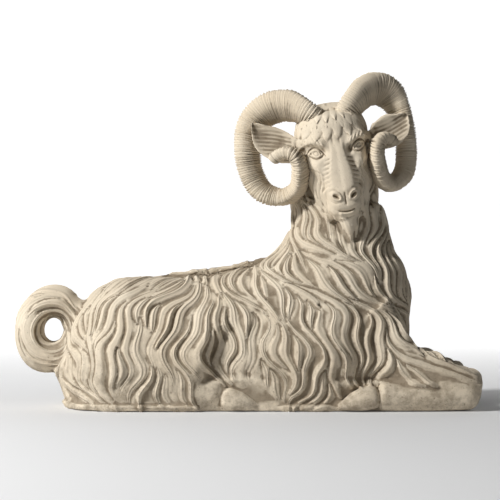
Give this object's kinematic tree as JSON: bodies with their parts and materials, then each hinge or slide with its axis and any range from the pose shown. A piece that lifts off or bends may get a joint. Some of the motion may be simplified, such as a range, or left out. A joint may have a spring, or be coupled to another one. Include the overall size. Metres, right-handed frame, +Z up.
{
  "type": "ram statue",
  "caption": "Long-fleeced ram lying down with folded forelegs, big curled ribbed horns and a ringed tail, cast in pale stone with a flat underside.",
  "frame": {"origin": "middle of the flat underside", "axes": "+X from the tail to the knees, +Y away from the side that the face looks to, +Z up"},
  "size_m": [0.8413, 0.3249, 0.6051],
  "materials": {
    "cast_stone": "matte"
  },
  "bodies": {
    "root": {"ram_statue": "cast_stone"}
  },
  "joints": []
}
